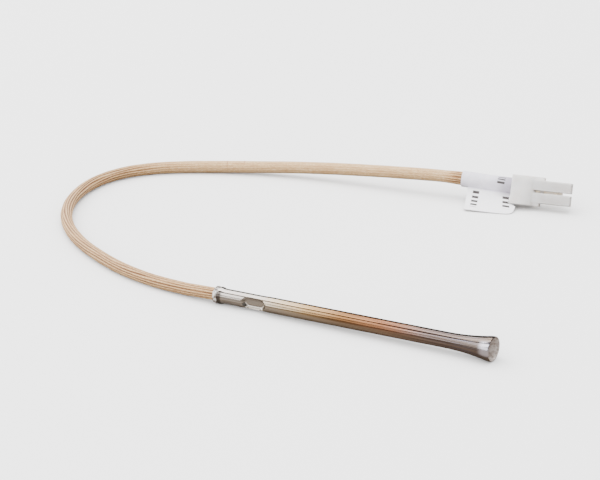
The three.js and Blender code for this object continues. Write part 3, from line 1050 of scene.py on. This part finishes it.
def buildTail():
    columns = 56
    rows = 44
    deselectAll()
    bpy.ops.mesh.primitive_grid_add(x_subdivisions=columns, y_subdivisions=rows, size=2, location=(0, 0, 0))
    piece = named("flag_tail")
    run = [Vector((0.0, y, z)) for y, z in flag["tailRun"]]
    leftStart, leftLean = flag["leftEdge"]
    rightStart, rightStep, stepLow, stepHigh = flag["rightEdge"]
    for vertex in piece.data.vertices:
        across = (vertex.co.x + 1) / 2
        down = (vertex.co.y + 1) / 2
        used = flag["runUsed"] - flag["bottomSlant"] * across
        place = runPoint(run, down * used)
        end = runPoint(run, used)
        left = leftStart - leftLean * place.y
        left += cornerTrim(flag["leftCorner"], place.y - end.y)
        right = rightStart + rightStep * smoothStep(-place.y, stepLow, stepHigh)
        right -= cornerTrim(flag["rightCorner"], place.y - end.y)
        ripple = 0.08 * smoothStep(down, 0.1, 0.7) * math.sin(across * 4.2 + down * 1.5)
        vertex.co = Vector((left + across * (right - left), place.y, place.z + ripple))
    applyModifier(piece, "SOLIDIFY", thickness=flag["paper"] * 1.6, offset=0.0)
    return piece


def paperFinish():
    finish = Finish("labelPaper", {"Roughness": 0.62, "Specular IOR Level": 0.4})
    local = finish.mapped(flagFrame())
    x, y, z = [value / mm for value in finish.split(local)]
    mottle = finish.noise(local, 320.0, 3.0, 0.6)
    fibres = finish.noise(local, 3600.0, 3.0, 0.6)
    tone = mottle * 0.6 + fibres * 0.4
    # one paper in two tones: the wrap painted in shade, the tail lit
    litTailColour = finish.ramp(tone, [(0.38, srgb(244, 243, 247)), (0.62, srgb(254, 253, 255))])
    shadedWrapColour = finish.ramp(tone, [(0.38, srgb(212, 208, 220)), (0.62, srgb(230, 227, 236))])
    away = (y * y + z * z).math("SQRT")
    colour = finish.mix(away.smooth(2.7, 3.6), shadedWrapColour, litTailColour)
    # painted shade: the paper greys towards the plug
    plugShade = x.smooth(11.0, 17.0) * (1.0 - away.smooth(3.4, 5.6))
    colour = finish.mix(plugShade, colour, srgb(196, 193, 198), "MULTIPLY")
    for low, high, lean, side, first, last, spacing in flag["marks"]:
        across = y * -1.0
        along = x - across * lean
        inX = along.smooth(low - 0.1, low + 0.1) * (1.0 - along.smooth(high - 0.1, high + 0.1))
        inY = across.smooth(first - 0.1, first + 0.1) * (1.0 - across.smooth(last - 0.1, last + 0.1))
        part = ((across - first) / spacing).math("FRACT")
        bar = 1.0 - part.smooth(0.5, 0.58)
        onSide = (z * side).smooth(0.5, 0.9)
        colour = finish.mix(inX * inY * bar * onSide, colour, srgb(66, 61, 60))
    normal = finish.bump(tone, 0.00003, 0.5)
    return finish.feed(colour=colour, normal=normal)


flagPiece = joinPieces("paper_flag", [buildWrap(), buildTail()])
settle(flagPiece, flagFrame(), "probe_and_lead", ["flag_label"], 50)
paint(flagPiece, paperFinish())
print("paper flag")


# Plug housing
plug = {
    "length": 19.6,
    "block": 7.4,
    "slopeStart": 4.6,
    "height": 9.6,
    "thickness": 5.4,
    "pitch": 4.2,
    "frontHeight": 3.3,
    "frontThickness": 3.8,
    "cavityHeight": 2.5,
    "cavityThickness": 2.7,
    "upperRibEnd": 10.5,
    "lowerRibEnd": 9.5,
    "ribHeight": 0.9,
    "ribThickness": 3.2,
    "webPlace": 9.6,
    "webTop": 2.75,
    "webWidth": 2.6,
    "edge": 0.13,
}


def slopeBorder(a, b, halfThick, halfFront):
    # the upright edges where the near side starts to slope and where the slope ends
    upright = abs(a.x - b.x) < 0.01 and abs(a.y - b.y) < 0.01
    start = abs(a.x - plug["slopeStart"]) < 0.01 and abs(a.y + halfThick) < 0.01
    end = abs(a.x - plug["block"]) < 0.01 and abs(a.y + halfFront) < 0.01
    return upright and (start or end)


def buildHousing():
    halfHeight = plug["height"] / 2
    halfThick = plug["thickness"] / 2
    halfFront = plug["frontThickness"] / 2
    block = boxPiece("plug_housing", (0, -halfThick, -halfHeight), (plug["block"], halfThick, halfHeight))
    bpy.ops.object.mode_set(mode="EDIT")
    sliceAcross(block, [plug["slopeStart"]], (1, 0, 0))
    choose(block, lambda p: p.x > plug["block"] - 0.01 and p.y < 0, "VERT")
    bpy.ops.transform.translate(value=(0, halfThick - halfFront, 0))
    # rounded borders of the slope
    choose(block, lambda a, b: slopeBorder(a, b, halfThick, halfFront), "EDGE")
    bpy.ops.mesh.bevel(offset=0.9, segments=5, affect="EDGES")
    # shallow panel on the wide near side
    choose(block, lambda middle, normal: normal.y < -0.99 and middle.x < plug["slopeStart"] - 1)
    bpy.ops.mesh.inset(thickness=0.6, depth=-0.1)
    bpy.ops.object.mode_set(mode="OBJECT")
    inside = plug["block"] - 1
    ribRoot = halfHeight - plug["ribHeight"] - 0.2
    halfRib = plug["ribThickness"] / 2
    ribs = [(plug["upperRibEnd"], ribRoot, halfHeight), (plug["lowerRibEnd"], -halfHeight, -ribRoot)]
    for ribEnd, low, high in ribs:
        combine(block, boxPiece("rib", (inside, -halfRib, low), (ribEnd, halfRib, high)), "UNION")
    webLow = (plug["webPlace"] - 0.5, halfFront - 0.3, -plug["webWidth"] / 2)
    webHigh = (plug["webPlace"] + 0.5, plug["webTop"], plug["webWidth"] / 2)
    combine(block, boxPiece("web", webLow, webHigh), "UNION")
    for centre in (-plug["pitch"] / 2, plug["pitch"] / 2):
        low = (inside, -halfFront, centre - plug["frontHeight"] / 2)
        high = (plug["length"], halfFront, centre + plug["frontHeight"] / 2)
        front = boxPiece("front", low, high)
        combine(block, front, "UNION")
    for centre in (-plug["pitch"] / 2, plug["pitch"] / 2):
        low = (-1, -plug["cavityThickness"] / 2, centre - plug["cavityHeight"] / 2)
        high = (plug["length"] + 1, plug["cavityThickness"] / 2, centre + plug["cavityHeight"] / 2)
        combine(block, boxPiece("cavity", low, high), "DIFFERENCE")
    softenEdges(block, plug["edge"], 3)
    return block


def nylonFinish(name, dark, light):
    finish = Finish(name, {
        "Roughness": 0.38, "IOR": 1.5, "Transmission Weight": 0.18, "Subsurface Weight": 0.6,
        "Subsurface Scale": 0.003, "Subsurface Radius": (1.0, 0.9, 0.82), "Specular IOR Level": 0.5,
    })
    local = finish.mapped(plugPlace)
    cloud = finish.noise(local, 260.0, 3.0, 0.55)
    fine = finish.noise(local, 2400.0, 2.0, 0.5)
    colour = finish.ramp(cloud, [(0.35, dark), (0.65, light)])
    # painted shade: the hollow fronts a little greyer where the contacts inside show through
    x, y, z = [value / mm for value in finish.split(local)]
    contactShade = x.smooth(8.5, 10.5) * (1.0 - ((z.math("ABSOLUTE") - 2.1).math("ABSOLUTE")).smooth(0.9, 1.5))
    colour = finish.mix(contactShade * 0.5, colour, srgb(232, 228, 225), "MULTIPLY")
    roughness = fine * 0.16 + 0.3
    normal = finish.bump(cloud * 0.7 + fine * 0.3, 0.00003, 0.4)
    return finish.feed(colour=colour, roughness=roughness, normal=normal)


nylon = nylonFinish("naturalNylon", srgb(244, 236, 231), srgb(255, 250, 246))
housingPiece = settle(buildHousing(), plugPlace, "probe_and_lead", ["connector_housing"])
paint(housingPiece, nylon)
print("plug housing", len(housingPiece.data.polygons), "faces")


# Latch lever
latch = {
    "rear": 3.5,
    "front": 16.1,
    "underside": 3.6,
    "top": 4.3,
    "width": 3.2,
    "padEnd": 4.4,
    "padTop": 4.8,
    "footStart": 9.1,
    "footEnd": 10.1,
    "footDepth": 3.05,
    "catchStart": 14.4,
    "catchEnd": 15.2,
    "catchDepth": 2.6,
    "edge": 0.12,
}


def buildLatch():
    half = latch["width"] / 2
    rearCorner = (latch["rear"], latch["underside"], -half)
    lever = boxPiece("latch_arm", rearCorner, (latch["front"], latch["top"], half))
    bpy.ops.object.mode_set(mode="EDIT")
    cuts = [latch["padEnd"], latch["footStart"], latch["footEnd"], latch["catchStart"], latch["catchEnd"]]
    sliceAcross(lever, cuts, (1, 0, 0))
    for start, end, side, reach in (
        (latch["rear"], latch["padEnd"], 1, latch["padTop"] - latch["top"]),
        (latch["footStart"], latch["footEnd"], -1, latch["footDepth"] - latch["underside"]),
        (latch["catchStart"], latch["catchEnd"], -1, latch["catchDepth"] - latch["underside"]),
    ):
        choose(lever, lambda middle, normal: normal.y * side > 0.9 and start < middle.x < end)
        bpy.ops.mesh.extrude_region_move(TRANSFORM_OT_translate={"value": (0, reach, 0)})
    # ramp of the catch and of the pad
    choose(lever, lambda p: p.y < latch["catchDepth"] + 0.01 and p.x < latch["catchStart"] + 0.01, "VERT")
    bpy.ops.transform.translate(value=(0.4, 0, 0))
    choose(lever, lambda p: p.y > latch["padTop"] - 0.01 and p.x > latch["padEnd"] - 0.01, "VERT")
    bpy.ops.transform.translate(value=(-0.35, 0, 0))
    # grip grooves across the pad end
    choose(lever, lambda middle, normal: normal.x < -0.9)
    bpy.ops.mesh.inset(thickness=0.18, depth=-0.06)
    bpy.ops.object.mode_set(mode="OBJECT")
    softenEdges(lever, latch["edge"], 3)
    return lever


latchPiece = settle(buildLatch(), plugPlace, "latch", ["latch_lever"])
# the latch's nylon is a warmer tan than the housing's
paint(latchPiece, nylonFinish("warmNylon", srgb(240, 218, 188), srgb(250, 240, 226)))
print("latch lever")


# Crimp contacts
contact = {
    "wall": 0.2,
    "insulationCrimp": (3.6, 5.6, 0.85),
    "wireCrimp": (6.4, 8.2, 0.75),
    "strip": (3.6, 11.0, 0.5),
    "box": (10.4, 18.6, 1.05, 0.95),
    "hole": (12.4, 0.7, 0.6),
    "sides": 28,
}


def crimpBarrel(start, end, radius, opening):
    # open barrel curled round the wire: an arc of wall with its two lips turned in
    deselectAll()
    bpy.ops.mesh.primitive_circle_add(vertices=contact["sides"], radius=radius - contact["wall"] / 2,
                                      location=(start, 0, 0), rotation=(0, math.pi / 2, 0))
    bpy.ops.object.transform_apply(location=True, rotation=True, scale=True)
    barrel = named("barrel")
    bpy.ops.object.mode_set(mode="EDIT")
    choose(barrel, lambda p: p.y > 0 and abs(math.atan2(p.z, p.y)) < opening, "VERT")
    bpy.ops.mesh.delete(type="VERT")
    choose(barrel, lambda p: p.y > 0 and abs(math.atan2(p.z, p.y)) < opening + 0.25, "VERT")
    bpy.ops.transform.translate(value=(0, -0.25, 0))
    bpy.ops.mesh.select_all(action="SELECT")
    bpy.ops.mesh.select_mode(type="EDGE")
    bpy.ops.mesh.extrude_region_move(TRANSFORM_OT_translate={"value": (end - start, 0, 0)})
    bpy.ops.mesh.select_all(action="SELECT")
    bpy.ops.mesh.normals_make_consistent(inside=False)
    bpy.ops.object.mode_set(mode="OBJECT")
    applyModifier(barrel, "SOLIDIFY", thickness=contact["wall"], offset=0.0)
    return barrel


def buildContact():
    start, end, half = contact["strip"]
    strip = boxPiece("strip", (start, -0.95, -half), (end, -0.72, half))
    boxStart, boxEnd, halfThick, halfHigh = contact["box"]
    holeStart, holeThick, holeHigh = contact["hole"]
    grip = boxPiece("grip", (boxStart, -halfThick, -halfHigh), (boxEnd, halfThick, halfHigh))
    # the hole, the seam where the box's wall meets itself, and the two windows in its sides
    for name, low, high in (
        ("hole", (holeStart, -holeThick, -holeHigh), (boxEnd + 1, holeThick, holeHigh)),
        ("seam", (boxStart - 1, halfThick - 0.12, -0.05), (boxEnd + 1, 2, 0.05)),
        ("window", (14.0, -0.3, -2), (16.4, 0.3, 2)),
    ):
        combine(grip, boxPiece(name, low, high), "DIFFERENCE")
    lance = boxPiece("lance", (11.0, halfThick - 0.05, -0.3), (13.2, halfThick + 0.12, 0.3))
    pieces = [grip, strip, lance]
    pieces.append(crimpBarrel(*contact["insulationCrimp"], 0.35))
    pieces.append(crimpBarrel(*contact["wireCrimp"], 0.2))
    for piece in pieces:
        softenEdges(piece, 0.04, 2, 40)
    return joinPieces("contact_a", pieces)


def brassFinish():
    finish = Finish("tinnedBrass", {"Metallic": 1.0, "Roughness": 0.3})
    local = finish.mapped(plugPlace)
    stamping = finish.noise(local, 900.0, 3.0, 0.6)
    colour = finish.ramp(stamping, [(0.35, srgb(170, 146, 104)), (0.65, srgb(208, 186, 142))])
    roughness = stamping * 0.3 + 0.15
    normal = finish.bump(stamping, 0.00002, 0.5)
    return finish.feed(colour=colour, roughness=roughness, normal=normal)


brass = brassFinish()
firstContact = buildContact()
secondContact = firstContact.copy()
secondContact.data = firstContact.data.copy()
secondContact.name = "contact_b"
bpy.context.collection.objects.link(secondContact)
contactPieces = []
for letter, side, piece in (("a", 1, firstContact), ("b", -1, secondContact)):
    seat = plugPlace @ Matrix.Translation(Vector((0, 0, side * plug["pitch"] / 2 * mm)))
    settle(piece, seat, "probe_and_lead", ["crimp_contact_" + letter])
    paint(piece, brass)
    contactPieces.append(piece)
print("contacts")


# the pieces on the lead, gathered in a list that nothing keeps
([flagPiece, housingPiece, latchPiece] + contactPieces
    + [nodes[name] for name in ("lead_insulation_a", "lead_insulation_b", "lead_core_a", "lead_core_b")])
